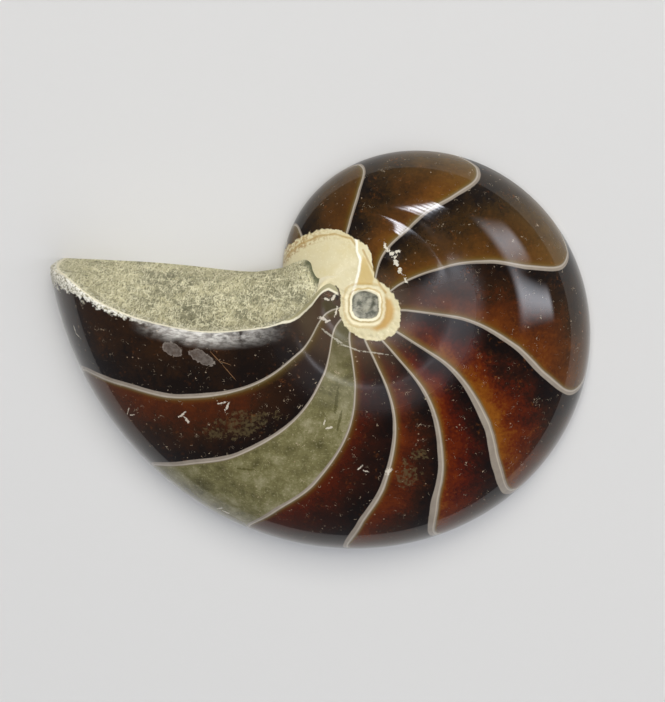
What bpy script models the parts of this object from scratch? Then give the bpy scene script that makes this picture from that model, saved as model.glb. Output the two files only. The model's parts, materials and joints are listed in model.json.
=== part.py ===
"""Half of a fossil nautilus, sawn on its plane of symmetry and lying on the flat cut.

Metres, +Z up. The coiling axis is parallel to Z, the cut face lies in z = 0 and the origin is at the middle of the
solid's box, on the cut face. The shell is one closed surface: a polar grid wraps the last turn of the coil, from the
broken end back round to the turn inside it, and the rough face of the broken end closes the ring.

Two coordinates run over the surface. The growth angle, in degrees, is about 0 at the broken end and grows back into
the coil. The girth goes over one cross-section, from 0 beside the coiling axis to 1 at the venter, on the cut.
"""

import math

import bmesh
import bpy
import numpy as np
from mathutils import Vector, noise

NAME = "nautilus_half"

# The coil
WHORL_RADIUS = 0.0448  # axis to venter at growth angle 0, which makes the half 75 mm long
WHORL_GROWTH = 3.38  # times larger after each turn
GROWTH_SWAY = 0.046  # how far the coil strays from a perfect logarithmic spiral, both ways
START_BEARING = 193.0  # degrees round from +X to growth angle 0
AXIS_PLACE = (0.00891, 0.00908)  # the coiling axis, from the middle of the box

# One cross-section, as parts of the whorl radius
HALF_THICKNESS = 0.34
SHOULDER = 0.56  # where the flank is thickest
AXIS_GAP = 0.10  # where the section ends beside the coiling axis
FLANK_DISH = 0.28  # how much the flank sinks from the shoulder to the axis
VENTER_ROUNDNESS = 2.68
FLANK_ROUNDNESS = 2.13

# Growth angles over the girth: a suture line's own shape, the broken rim, and where the matrix meets the inner turn
SUTURE = ((0.0, 0.0), (0.1, 10.0), (0.25, 15.0), (0.5, 7.0), (0.65, -0.5), (0.8, -4.0), (0.9, -2.0), (1.0, 6.0))
RIM = ((0.0, -40.0), (0.06, -17.0), (0.2, -5.5), (0.3, -5.9), (0.5, -10.8), (0.62, -14.4), (0.76, -18.4), (1.0, -17.2))
INNER_EDGE = (
    (0.0, 264.0),
    (0.15, 296.0),
    (0.3, 317.0),
    (0.36, 323.0),
    (0.43, 320.5),
    (0.5, 316.3),
    (0.56, 317.4),
    (0.63, 321.5),
    (0.8, 331.0),
    (1.0, 337.0),
)
RIM_REACH = 0.10  # part of the turn over which the rim's shape turns into a suture's
INNER_REACH = 0.55  # the same for the edge on the inner turn

# The umbilicus: callus round a small plug
PLUG_PLACE = (-0.0015, 0.0006)  # from the coiling axis
PLUG_HEIGHT = 0.0086
PLUG_RADIUS = 0.0017
PLUG_SINK = 0.0003
CALLUS_LEVEL = (0.0050, 0.0045)  # how far out the callus stays level, on the outer turn and on the inner one
CALLUS_RADII = (0.0108, 0.0138)  # where the callus thins out, the same way
CALLUS_SPREAD = (180.0, 330.0)  # growth angles between which the one turns into the other

# The rough broken face
MATRIX_HOLLOW = 0.0007
MATRIX_LUMP = 0.0012  # size of a lump
MATRIX_RELIEF = 0.00035
MATRIX_START = (0.14, 0.24)  # parts of the rows between which the callus gives way to matrix
FILLET = 0.75  # part of the way to the rim over which the face turns away from the inner turn
RIM_WEAR = ((0.0, 0.0), (0.5, 0.0002), (0.65, 0.0005), (0.75, 0.0011), (0.85, 0.0014), (1.0, 0.0014))  # its radius
FAR_EDGE_DIP = ((0.0, 0.0), (0.16, -0.00045), (0.45, 0.0), (0.6, 0.00012), (1.0, 0.0))  # off a straight line

# The mesh
WHORL_COLUMNS = 104
MATRIX_COLUMNS = 15
RIM_CROWDING = (1.25, 1.5)  # how much closer the columns lie by the rim, on the whorl and on the matrix
AXIS_ROWS = 8
PLUG_SHARE = 0.625  # part of those rows that lie outside the plug
GIRTH_ROWS = 30
RIM_ROWS = ((0.0, 0.0), (0.1, 0.008), (0.2, 0.05), (0.4, 0.22), (1.0, 1.0))  # girth over the rows, at the rim
INNER_ROWS = ((0.0, 0.0), (0.2, 0.36), (0.4, 0.56), (1.0, 1.0))  # the same at the matrix's inner edge


def smoothstep(low, high, value):
    t = np.clip((value - low) / (high - low), 0.0, 1.0)
    return t * t * (3.0 - 2.0 * t)


def curve_through(knots, value):
    """A smooth curve through the knots, level at each peak and dip, so that it never overshoots them."""
    x, y = np.array(knots).T
    step = np.diff(x)
    slope = np.diff(y) / step
    tangent = np.concatenate([slope[:1], 2 * slope[:-1] * slope[1:] / (slope[:-1] + slope[1:] + 1e-12), slope[-1:]])
    tangent[1:-1][slope[:-1] * slope[1:] <= 0] = 0.0
    i = int(np.clip(np.searchsorted(x, value) - 1, 0, len(step) - 1))
    t = (value - x[i]) / step[i]
    rise = y[i] * (1 + 2 * t) + tangent[i] * step[i] * t
    fall = y[i + 1] * (3 - 2 * t) - tangent[i + 1] * step[i] * (1 - t)
    return float(rise * (1 - t) ** 2 + fall * t**2)


def section_table():
    """Girth, distance from the axis and height along one cross-section, as parts of the whorl radius."""
    inside = np.linspace(AXIS_GAP, SHOULDER, 40)[:-1]
    dish = HALF_THICKNESS * (1 - FLANK_DISH * ((SHOULDER - inside) / SHOULDER) ** 2)
    turn = np.linspace(0.0, math.pi / 2, 90)
    out = SHOULDER + (1 - SHOULDER) * np.sin(turn) ** (2 / VENTER_ROUNDNESS)
    high = HALF_THICKNESS * np.abs(np.cos(turn)) ** (2 / FLANK_ROUNDNESS)
    reach, height = np.concatenate([inside, out]), np.concatenate([dish, high])
    height[-1] = 0.0
    length = np.concatenate([[0.0], np.cumsum(np.hypot(np.diff(reach), np.diff(height)))])
    return length / length[-1], reach, height


GIRTH, REACH, HEIGHT = section_table()


def whorl_radius(growth):
    angle = math.radians(growth)
    sway = GROWTH_SWAY * (math.sin(angle) + 1 - math.cos(angle))
    return WHORL_RADIUS * math.exp(sway - math.log(WHORL_GROWTH) * growth / 360)


def shell_point(growth, girth, inward=0.0):
    """A point on the polished shell; inward goes from its section's end, at 0, to the plug's middle, at 1."""
    radius = whorl_radius(growth)
    reach = radius * float(np.interp(girth, GIRTH, REACH))
    if inward > 0:
        reach = float(np.interp(inward, (0.0, PLUG_SHARE, 1.0), (reach, PLUG_RADIUS, 0.0)))
    height = radius * float(np.interp(girth, GIRTH, HEIGHT))
    turned = smoothstep(*CALLUS_SPREAD, growth)
    level, spread = (low + (high - low) * turned for low, high in (CALLUS_LEVEL, CALLUS_RADII))
    callus = 1 - smoothstep(level, spread, reach)
    height += (PLUG_HEIGHT - height) * callus
    height -= PLUG_SINK * (1 - smoothstep(PLUG_RADIUS * 0.66, PLUG_RADIUS, reach))
    bearing = math.radians(START_BEARING + growth)
    x = reach * math.cos(bearing) + PLUG_PLACE[0] * callus
    y = reach * math.sin(bearing) + PLUG_PLACE[1] * callus
    return Vector((x, y, height))


def girth_at(turn, part):
    """Girth at a part of the turn on a row; by the rim the rows bunch up round the umbilicus."""
    rim, inner = curve_through(RIM_ROWS, part), curve_through(INNER_ROWS, part)
    return rim + (inner - rim) * turn


def growth_at(turn, girth):
    """Growth angle at a part of the turn: the broken rim at 0, sutures between, the matrix's inner edge at 1."""
    suture = curve_through(SUTURE, girth)
    first, last = RIM[-1][1], INNER_EDGE[-1][1]
    growth = first + (last - first) * turn + suture
    rim = curve_through(RIM, girth) - first - suture
    edge = curve_through(INNER_EDGE, girth) - last - suture
    growth += rim * max(0.0, 1 - turn / RIM_REACH) ** 2
    growth += edge * max(0.0, (turn - 1 + INNER_REACH) / INNER_REACH) ** 2
    return growth


def worn_back(point, girth, on_matrix):
    """Rounds the broken rim: moves a point near it onto the arc that joins the flank and the broken face."""
    width = curve_through(RIM_WEAR, girth)
    growth = curve_through(RIM, girth)
    rim = shell_point(growth, girth)
    low, high = max(0.0, girth - 0.01), min(1.0, girth + 0.01)
    along = (shell_point(curve_through(RIM, low), low) - shell_point(curve_through(RIM, high), high)).normalized()
    on_flank = shell_point(growth + 1, girth) - rim
    on_flank = (on_flank - on_flank.dot(along) * along).normalized()
    on_face = Vector((0, 1, 0)).cross(along).normalized()
    away, other = (on_face, on_flank) if on_matrix else (on_flank, on_face)
    near = width - (point - rim).length
    if near <= 0:
        return point
    angle = math.pi / 4 * near / width
    return point + (near - width * math.sin(angle)) * away + width * (1 - math.cos(angle)) * other


def rim_line():
    """The broken rim from the umbilicus to the venter, for the face to hang from."""
    points = [shell_point(curve_through(RIM, girth), girth) for girth in np.linspace(0.0, 1.0, 80)]
    return np.array(sorted(points, key=lambda point: point.x))


RIM_LINE = rim_line()
FAR_EDGE = (shell_point(INNER_EDGE[-1][1], 1.0), shell_point(RIM[-1][1], 1.0))


def round_plug(inner, outer, across):
    """A place in plan between two others that keeps its distance from the plug's middle."""
    plug = Vector(PLUG_PLACE)
    first, last = inner.xy - plug, outer.xy - plug
    reach = first.length + (last.length - first.length) * across
    return plug + first.lerp(last, across).normalized() * reach


def matrix_point(across, part, inward):
    """A point on the broken end; across goes from the inner turn, at 0, to the rim, at 1."""
    girths = girth_at(1.0, part), girth_at(0.0, part)
    inner = shell_point(curve_through(INNER_EDGE, girths[0]), girths[0], inward)
    outer = shell_point(curve_through(RIM, girths[1]), girths[1], inward)
    if across == 1.0:
        return outer
    point = inner.lerp(outer, across)
    point.xy = round_plug(inner, outer, across).lerp(point.xy, smoothstep(0.0, MATRIX_START[0], part))
    point.y += curve_through(FAR_EDGE_DIP, across) * part
    if part == 1.0:
        return point
    rough = smoothstep(*MATRIX_START, part) * (1 - inward)
    along = min(1.0, max(0.0, (point.x - FAR_EDGE[0].x) / (FAR_EDGE[1].x - FAR_EDGE[0].x)))
    foot = FAR_EDGE[0].lerp(FAR_EDGE[1], along)
    foot.y += curve_through(FAR_EDGE_DIP, along)
    rim_y, rim_z = (float(np.interp(point.x, RIM_LINE[:, 0], RIM_LINE[:, axis])) for axis in (1, 2))
    wall_y = foot.y + (rim_y - foot.y) * min(1.0, point.z / max(rim_z, 1e-6))
    point.y += (wall_y - point.y) * rough * smoothstep(0.0, FILLET, across)
    middle = 4 * across * (1 - across)
    point.y -= MATRIX_HOLLOW * middle * math.sin(math.pi * part) * rough
    lump = noise.fractal(point / (4 * MATRIX_LUMP), 1.0, 2.0, 3)
    point.y += MATRIX_RELIEF * lump * rough * min(1.0, 2 * middle) * min(1.0, 8 * (1 - part))
    return point


def build_mesh():
    columns, rows = WHORL_COLUMNS + MATRIX_COLUMNS, AXIS_ROWS + GIRTH_ROWS
    bm = bmesh.new()
    bmesh.ops.create_grid(bm, x_segments=columns, y_segments=rows, size=0.5)
    for vert in bm.verts:
        column = round((vert.co.x + 0.5) * columns)
        row = round((vert.co.y + 0.5) * rows)
        inward = max(0.0, 1 - row / AXIS_ROWS)
        part = max(0.0, (row - AXIS_ROWS) / GIRTH_ROWS)
        if column <= WHORL_COLUMNS:
            turn = (column / WHORL_COLUMNS) ** RIM_CROWDING[0]
            girth = girth_at(turn, part)
            point = shell_point(growth_at(turn, girth), girth, inward)
        else:
            across = 1 - ((columns - column) / MATRIX_COLUMNS) ** RIM_CROWDING[1]
            girth = girth_at(0.0, part)
            point = matrix_point(across, part, inward)
        if girth > RIM_WEAR[1][0]:
            point = worn_back(point, girth, column > WHORL_COLUMNS)
        vert.co = point + Vector((*AXIS_PLACE, 0.0))
    bmesh.ops.remove_doubles(bm, verts=bm.verts, dist=1e-6)
    cut = [edge for edge in bm.edges if edge.is_boundary]
    base = bmesh.ops.holes_fill(bm, edges=cut, sides=0)["faces"]
    bmesh.ops.triangulate(bm, faces=base)
    bmesh.ops.recalc_face_normals(bm, faces=bm.faces)
    mesh = bpy.data.meshes.new(NAME)
    bm.to_mesh(mesh)
    bm.free()
    return mesh


def stone_material():
    material = bpy.data.materials.new("polished_fossil_stone")
    material.use_nodes = True
    shader = material.node_tree.nodes["Principled BSDF"]
    shader.inputs["Base Color"].default_value = (0.10, 0.045, 0.022, 1.0)
    shader.inputs["Roughness"].default_value = 0.12
    shader.inputs["Metallic"].default_value = 0.0
    return material


def main():
    for obj in list(bpy.data.objects):
        bpy.data.objects.remove(obj)
    collection = bpy.data.collections.new("fossil_nautilus_half")
    bpy.context.scene.collection.children.link(collection)
    mesh = build_mesh()
    mesh.materials.append(stone_material())
    mesh.shade_smooth()
    mesh.set_sharp_from_angle(angle=math.radians(40))
    collection.objects.link(bpy.data.objects.new(NAME, mesh))


main()
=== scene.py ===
"""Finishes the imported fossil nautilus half: polished chambers, septa and callus, broken end and sawn cut.

Metres, +Z up, in the part's own frame: the half lies on its cut in z = 0, with the broken tip towards -X. The
stone is one piece, made on the same coil and from the same named values as the part's solid, with a finer mesh.
Two coordinates run over it. The growth angle, in degrees, is about 0 at the broken end and grows back into the
coil. The girth goes over one cross-section, from 0 beside the coiling axis to 1 at the venter, on the cut.
"""

import json
import math
from functools import partial

import bmesh
import bpy
import numpy as np
from bpy.props import FloatProperty, FloatVectorProperty, PointerProperty
from mathutils import Matrix, Vector, noise

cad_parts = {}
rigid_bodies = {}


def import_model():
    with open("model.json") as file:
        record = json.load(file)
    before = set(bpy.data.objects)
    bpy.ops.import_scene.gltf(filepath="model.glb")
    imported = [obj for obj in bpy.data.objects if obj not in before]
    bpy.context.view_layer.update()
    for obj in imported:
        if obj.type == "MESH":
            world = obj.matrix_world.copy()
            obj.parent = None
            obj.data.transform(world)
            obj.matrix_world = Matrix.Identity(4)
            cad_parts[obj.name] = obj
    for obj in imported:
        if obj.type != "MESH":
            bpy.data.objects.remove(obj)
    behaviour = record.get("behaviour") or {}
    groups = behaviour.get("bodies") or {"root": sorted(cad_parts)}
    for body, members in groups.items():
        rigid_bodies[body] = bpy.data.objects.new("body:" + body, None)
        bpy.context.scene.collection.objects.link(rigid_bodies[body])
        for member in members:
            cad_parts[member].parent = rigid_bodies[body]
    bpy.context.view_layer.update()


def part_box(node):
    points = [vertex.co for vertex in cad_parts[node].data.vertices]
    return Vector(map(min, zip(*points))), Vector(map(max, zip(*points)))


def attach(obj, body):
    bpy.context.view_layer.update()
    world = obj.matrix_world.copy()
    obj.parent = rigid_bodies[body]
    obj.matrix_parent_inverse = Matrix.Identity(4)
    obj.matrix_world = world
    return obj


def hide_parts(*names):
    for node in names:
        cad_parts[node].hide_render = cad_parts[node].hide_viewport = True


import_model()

bl_info = {
    "name": "Fossil nautilus half",
    "version": (1, 0, 0),
    "blender": (4, 5, 0),
    "location": "3D View > Sidebar > Fossil",
    "description": "Builds the polished half of a fossil nautilus and a plain studio round it",
    "category": "Object",
}

PIECE = "polished_nautilus_half"
NODE = "nautilus_half"
MM = 0.001

# The coil, as in the part's source
WHORL_RADIUS = 0.0448
WHORL_GROWTH = 3.38
GROWTH_SWAY = 0.046
START_BEARING = 193.0
AXIS_PLACE = (0.00891, 0.00908)
HALF_THICKNESS = 0.34
SHOULDER = 0.56
AXIS_GAP = 0.10
FLANK_DISH = 0.28
VENTER_ROUNDNESS = 2.68
FLANK_ROUNDNESS = 2.13
SUTURE = (
    *((0.0, 0.0), (0.1, 10.0), (0.25, 15.0), (0.5, 7.0)),
    *((0.65, -0.5), (0.8, -4.0), (0.9, -2.0), (1.0, 6.0)),
)
RIM = (
    *((0.0, -40.0), (0.06, -17.0), (0.2, -5.5), (0.3, -5.9)),
    *((0.5, -10.8), (0.62, -14.4), (0.76, -18.4), (1.0, -17.2)),
)
INNER_EDGE = (
    (0.0, 264.0), (0.15, 296.0), (0.3, 317.0), (0.36, 323.0), (0.43, 320.5), (0.5, 316.3), (0.56, 317.4),
    (0.63, 321.5), (0.8, 331.0), (1.0, 337.0),
)
RIM_REACH = 0.10
INNER_REACH = 0.55
PLUG_PLACE = (-0.0015, 0.0006)
PLUG_HEIGHT = 0.0086
PLUG_RADIUS = 0.0017
PLUG_SINK = 0.0003
CALLUS_LEVEL = (0.0050, 0.0045)
CALLUS_RADII = (0.0108, 0.0138)
CALLUS_SPREAD = (180.0, 330.0)
MATRIX_HOLLOW = 0.0007
MATRIX_LUMP = 0.0012
MATRIX_RELIEF = 0.00035
MATRIX_START = (0.14, 0.24)
FILLET = 0.75
RIM_WEAR = ((0.0, 0.0), (0.5, 0.0002), (0.65, 0.0005), (0.75, 0.0011), (0.85, 0.0014), (1.0, 0.0014))
FAR_EDGE_DIP = ((0.0, 0.0), (0.16, -0.00045), (0.45, 0.0), (0.6, 0.00012), (1.0, 0.0))

# The septa, from the first behind the rim: growth angle at the axis, and width in mm by the plug and the venter
SEPTA = (
    (5.0, 0.18, 0.80),
    (28.4, 0.18, 0.70),
    (52.2, 0.18, 0.50),
    (74.3, 0.20, 0.85),
    (94.7, 0.22, 1.05),
    (115.8, 0.26, 1.25),
    (146.7, 0.24, 0.75),
    (183.0, 0.20, 0.55),
    (222.5, 0.20, 0.50),
    (267.5, 0.18, 0.36),
    (311.0, 0.24, 0.34),
)
RIM_CHAMBER_START = -48.0
FLARED_SEPTUM = 5  # the one that widens towards the venter

# The chambers, from one ahead of the rim inwards: how far each glows and how much it leans to olive brown
GLOW = (0.40, 0.48, 0.50, 0.40, 0.46, 0.64, 0.80, 0.90, 0.68, 0.64, 0.72, 0.52, 0.52)
OLIVE = (0.60, 0.35, 0.25, 0.0, 0.10, 0.15, 0.05, 0.10, 0.30, 0.65, 0.60, 0.60, 0.70)
FILLED_CHAMBER = 2

# The callus, in mm from the coiling axis: how far out it reaches at a growth angle, and the forms on it
CALLUS_EDGE = (
    (-44.0, 5.8), (-32.0, 4.9), (-9.0, 4.65), (20.0, 4.9), (75.0, 4.95), (118.0, 4.7), (138.0, 4.1),
    (158.0, 3.4), (189.0, 3.0), (231.0, 3.85), (244.5, 5.9), (253.0, 7.5), (264.5, 8.7), (277.5, 10.1),
    (288.0, 11.5), (300.0, 12.6), (314.0, 13.8), (340.0, 16.0),
)
PLUG_MIDDLE = (-1.2, 0.0)
PLUG_HALF = (1.70, 1.75)
CALLUS_TONGUE = ((-1.6, 7.0), (-1.0, 6.4), (0.0, 3.8), (-0.2, 2.7), (-2.5, 2.7), (-2.0, 4.6), (-1.8, 6.2))
# A crescent of painted shadow beside the plug, along its ring
CALLUS_PAINTED_SHADOW = (
    (1.3, 1.2), (2.2, 0.9), (2.7, -0.4), (2.5, -1.8), (1.6, -3.0), (0.4, -3.5), (-0.4, -3.3), (0.7, -2.5),
    (1.3, -1.5), (1.4, -0.2),
)
CALLUS_LINES = {
    # The arc is a low ridge; its near-white colour is a painted highlight
    "arc": ((-2.7, 9.3), (-2.5, 8.3), (-2.4, 7.3), (-1.9, 6.2), (-2.1, 4.6), (-2.5, 3.0), (-3.0, 1.6)),
    "seam": ((-13.0, 5.0), (-10.9, 7.1), (-8.0, 8.7), (-5.6, 9.2), (-3.3, 8.8), (-2.4, 7.8)),
    "band": ((-1.6, 7.5), (-1.0, 6.4), (0.1, 4.4), (0.7, 3.0), (1.5, 1.8)),
    "notch": ((-5.2, 2.5), (-5.1, 1.6), (-5.0, 0.8)),
}
# Ridges and grooves in mm: height and half width along a line, or round the plug at a radius
LINE_STEPS = (("arc", 0.10, 0.20), ("band", -0.05, 0.16), ("seam", -0.05, 0.20))
PLUG_STEPS = ((2.05, 0.09, 0.20), (2.95, 0.06, 0.25), (2.45, -0.05, 0.15))
PLUG_STEP_DOWN = 0.10
FINE_KNOBS, EDGE_KNOBS = 0.03, 0.16
CRUST_SPREAD = 0.004  # how far crumbs of the crust move out or in, as a part of their distance from the axis

# Marks on the polish, in mm from the coiling axis: middle, half length, half width and turn in degrees
WHITE_STROKES = (
    (-25.6, -14.6, 0.75, 0.12, 40.0), (-24.9, -15.3, 0.60, 0.16, -55.0), (-19.9, -12.6, 0.60, 0.12, 15.0),
    (-19.2, -13.1, 0.70, 0.14, 65.0), (-41.0, -3.9, 0.60, 0.07, -75.0), (-40.5, -4.8, 0.45, 0.07, -35.0),
    (-33.6, -15.0, 0.50, 0.07, 70.0), (-33.0, -15.5, 0.40, 0.08, 20.0), (-21.7, -29.8, 0.60, 0.12, 30.0),
    (-20.9, -30.4, 0.50, 0.16, -20.0), (-6.2, -15.2, 0.45, 0.10, 80.0), (-5.6, -16.0, 0.40, 0.12, 15.0),
    (-1.4, -21.6, 0.40, 0.10, 45.0), (-0.7, -22.1, 0.35, 0.12, -15.0), (2.4, -22.1, 0.55, 0.30, 55.0),
    (-7.0, -1.9, 0.55, 0.16, -30.0), (-6.3, -2.3, 0.40, 0.12, 20.0),
)
# Thin pale arcs near the umbilicus: painted highlights of the polish
PAINTED_HIGHLIGHT_ARCS = (
    (-6.2, -3.9, 1.1, 0.10, -42.0), (-4.9, -4.9, 1.0, 0.13, -35.0), (-3.2, -5.8, 1.5, 0.10, -19.0),
    (0.0, -6.4, 2.0, 0.08, -5.0),
)
CALLUS_CHIPS = (
    (1.4, 8.0, 0.5, 0.16, -60.0), (2.3, 7.0, 0.6, 0.22, -50.0), (2.9, 5.9, 0.6, 0.24, -62.0),
    (3.5, 4.8, 0.5, 0.22, -60.0), (4.2, 3.5, 0.45, 0.14, -65.0), (3.2, 7.4, 0.3, 0.14, 20.0),
    (-13.3, 8.6, 0.80, 0.20, 80.0), (-13.2, 7.0, 0.90, 0.16, 88.0), (-5.5, 0.9, 0.45, 0.16, 60.0),
    (-6.3, 0.6, 0.35, 0.15, -20.0), (-5.2, -1.0, 0.55, 0.12, 75.0),
)
MATRIX_PATCHES = ((-28.6, 1.2, 2.8, 1.1, 5.0), (-24.0, -0.8, 2.8, 1.2, -8.0), (-18.0, -1.2, 1.0, 0.5, 0.0))
FLAKES = ((-26.4, -5.1, 1.35, 0.85, -25.0), (-22.4, -6.1, 1.7, 0.8, -28.0))
CRACK = ((-20.4, -6.2, 1.1, 0.07, -50.0), (-18.8, -8.2, 1.4, 0.06, -52.0), (-19.2, -6.9, 0.8, 0.05, -20.0))
DULL_PATCHES = ((-17.3, -15.7, 4.4, 1.4, 15.0), (6.6, -19.6, 1.1, 0.8, 30.0), (4.9, -22.6, 1.8, 1.3, 60.0))
DARK_DASHES = (
    (-4.6, -12.2, 1.8, 0.22, 84.0), (-4.2, -15.0, 1.4, 0.18, 78.0), (-17.1, -22.3, 1.3, 0.14, -3.0),
    (-6.1, -0.4, 1.3, 0.9, -60.0),
)
OVERLAP_REACH = (0.0130, 0.0085)  # where the matrix laps over the shell by the umbilicus, from the axis
SOFT_POLISH_REACH = (0.0175, 0.0122)  # where the polish gets softer towards the axis, in the lower half

# The mesh: how its columns crowd towards the rim, on the whorl and the broken end, and its columns and rows
RIM_CROWDING = (1.25, 1.5)
WHORL_COLUMNS = 372
MATRIX_COLUMNS = 72
AXIS_ROWS = 32
PLUG_SHARE = 0.625
GIRTH_ROWS = 136
RIM_ROWS = ((0.0, 0.0), (0.1, 0.008), (0.2, 0.05), (0.4, 0.22), (1.0, 1.0))
INNER_ROWS = ((0.0, 0.0), (0.2, 0.36), (0.4, 0.56), (1.0, 1.0))
CUT_ROWS = 16

# The looks. Forms on the callus: field, how ragged, outer and inner edge in mm, share and colour
CALLUS_FORMS = (
    ("tongue", 0.0, -0.10, 0.30, 0.9, "#C2A869"),
    # Painted shadow: the darker tan crescent beside the plug
    ("crescent", 0.0, -0.35, 0.35, 0.9, "#BC9450"),
    ("seam", 0.25, 0.20, 0.04, 0.7, "#A98A4C"),
    # Painted highlight: near white along the arc's ridge
    ("arc", 0.30, 0.26, 0.08, 0.9, "#F4EFDD"),
)
# Growth rings round the plug: radius and half width in mm, share and colour
PLUG_RINGS = (
    (2.25, 0.09, 0.55, "#B5924F"),
    (2.95, 0.14, 0.35, "#B5924F"),
    (1.98, 0.14, 0.85, "#F1E9CB"),
    (2.55, 0.14, 0.55, "#EBE1BE"),
)
# White chips and curls, painted highlight arcs by the callus, and a crack: how ragged, crumbs in mm, share and
# colour
WHITE_MARKS = (
    (WHITE_STROKES, 2.0, 0.3, 0.7, "#CFC6B4"),
    (PAINTED_HIGHLIGHT_ARCS, 1.8, 0.3, 0.55, "#BDB9A8"),
    (CRACK, 0.5, 0.2, 0.5, "#8D6A48"),
)
MATRIX_FIBRES = ((0.5, 0.60), (-0.6, 0.50), (1.2, 0.45), (-0.1, 0.55), (-1.2, 0.50))  # radians, mm across

# What each material reads from the mesh, and how looks fade over it: field, none at, full at, least and most
POLISHED_FIELDS = "chamber pace septum growth girth callus plug arc seam tongue crescent notch rim".split()
POLISHED_FADES = {
    # Painted shade over the venter, for the outer turn
    "painted_shade_at_venter": ("girth", 0.60, 0.95, 0.0, 0.45),
    "outer_turn": ("chamber", 8.2, 6.2),
    "painted_shade_by_axis": ("girth", 0.42, 0.22, 0.0, 0.7),
    # Painted shade near the axis, for the first two chambers
    "first_two": ("chamber", 2.4, 2.0),
    "venter": ("girth", 0.62, 0.95, 0.0, 0.45),
    "umbilical": ("girth", 0.17, 0.05, 0.0, 0.7),
    "bright_septum": ("girth", 0.20, 0.04, 0.0, 0.35),
    "inner_turn": ("growth", 262.0, 280.0),
    "towards_edge": ("growth", 285.0, 315.0, 0.10, 0.75),
    "outer_band": ("callus", 1.7 * MM, 1.3 * MM),
    "off_callus": ("callus", -0.1 * MM, -0.5 * MM),
    "callus_bump": ("callus", -3.0 * MM, -0.2 * MM, 0.0, 0.22 / MM),
    # The frost band below the rim: rough, and with a painted pale glare
    "frost_reach": ("rim", 3.0 * MM, 0.4 * MM),
    "frost_from": ("girth", 0.10, 0.24),
    "frost_to": ("girth", 0.56, 0.42),
    "painted_glare_share": ("girth", 0.14, 0.36, 0.25, 1.0),
    "crust_width": ("girth", 0.50, 0.90, 0.7 * MM, 3.4 * MM),
    "crust_from": ("girth", 0.46, 0.58),
    "overlap": ("from_axis", *OVERLAP_REACH, 0.0, 0.8 * MM),
    "softer": ("from_axis", *SOFT_POLISH_REACH, 0.0, 0.34),
    "lower_half": ("growth", 215.0, 175.0),
}
MATRIX_FIELDS = ("rim", "margin", "girth")
MATRIX_FADES = {
    # Painted light: the broken face lighter towards its far edge
    "far": ("girth", 0.55, 0.95, 0.0, 0.55),
    "border": ("margin", 1.6 * MM, 0.2 * MM, 0.0, 0.95),
    "border_side": ("girth", 0.60, 0.52),
    "dust": ("rim", 3.0 * MM, 0.4 * MM, 0.0, 0.8),
    "worn": ("girth", 0.72, 0.95, 0.0, 1.5 * MM),
    "bared": ("from_axis", *reversed(OVERLAP_REACH)),
}
CALCITE_IOR = 1.52  # under a polish
POLISH, FLAKED_POLISH, WORN_POLISH, STONE_ROUGHNESS = 0.055, 0.22, 0.30, 0.8
LAPPED_ROUGHNESS = 0.25
CUT_CHAMBER_ANGLE = math.radians(24.0)  # growth angle to one chamber on the cut
SOFT = {"interpolation_type": "SMOOTHSTEP"}

# The studio. What the polish mirrors: direction, half length, half width, softness, turn, brightness
WINDOWS = (
    ((0.57, 0.10, 0.82), 0.36, 0.065, 0.065, 5.0, 7.0),
    ((0.38, 0.38, 0.84), 0.26, 0.100, 0.100, 32.0, 5.0),
    ((-0.26, -0.10, 0.96), 0.06, 0.045, 0.030, 0.0, 14.0),
    ((-0.24, 0.18, 0.95), 0.18, 0.018, 0.014, 59.0, 30.0),
)
LAMP_ROW_WIDTH = 0.02  # a window narrower than this is a row of small lamps
LAMP_ROW_PITCH = 90.0  # radians of the row's wave, one wave to a lamp, per unit of direction
# Soft lamps: direction, distance, size, power and colour
LAMPS = {
    "key": ((0.10, 0.62, 0.80), 1.1, (0.7, 0.5), 8.5, "#FFFCF6"),
    "fill": ((0.35, -0.35, 0.87), 1.2, (0.9, 0.9), 4.5, "#F6F9FF"),
}
FLOOR_HALF = 3.0
CAMERA_LENS = 82.46
CAMERA_SENSOR = 36.0
CAMERA_TOWARDS = (0.1139, 0.2412, 0.9638)
CAMERA_RIGHT = (0.9931, 0.0, -0.1174)
CAMERA_AIM = (-0.0307, -0.0378)  # how far right and up of the axis the camera aims, per metre of distance


def linear(code):
    """A colour written as sRGB hex, as the linear RGBA that shaders take."""
    parts = [int(code[i : i + 2], 16) / 255 for i in (1, 3, 5)]
    return (*(p / 12.92 if p <= 0.04045 else ((p + 0.055) / 1.055) ** 2.4 for p in parts), 1.0)


# Settings that all the colours share
COLOUR = {"size": 4, "min": 0.0, "max": 1.0, "subtype": "COLOR"}


class FossilLook(bpy.types.PropertyGroup):
    """Sizes and colours of the stone."""

    relief: FloatProperty(
        name="Matrix relief",
        description="How far the fine lumps of the broken end stand out",
        default=0.12 * MM,
        min=0.0,
        max=1.0 * MM,
        subtype="DISTANCE",
        unit="LENGTH",
        precision=5,
    )
    amber: FloatVectorProperty(
        name="Amber",
        description="The clear calcite where a chamber is brightest",
        default=linear("#6B3609"),
        **COLOUR,
    )
    maroon: FloatVectorProperty(
        name="Maroon", description="The calcite half way into a chamber", default=linear("#3E0C04"), **COLOUR
    )
    dark: FloatVectorProperty(
        name="Dark calcite", description="The dark end of a chamber", default=linear("#0E0706"), **COLOUR
    )
    olive: FloatVectorProperty(
        name="Olive filling",
        description="The chamber that grey-green mudstone fills",
        default=linear("#67623F"),
        **COLOUR,
    )
    septum: FloatVectorProperty(
        name="Septum", description="The chamber walls, cut across", default=linear("#958B7D"), **COLOUR
    )
    callus: FloatVectorProperty(
        name="Callus", description="The cream shell round the umbilicus", default=linear("#D2C8A2"), **COLOUR
    )
    matrix: FloatVectorProperty(
        name="Matrix",
        description="The fine-grained rock at the broken end",
        default=linear("#ACA684"),
        **COLOUR,
    )


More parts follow.
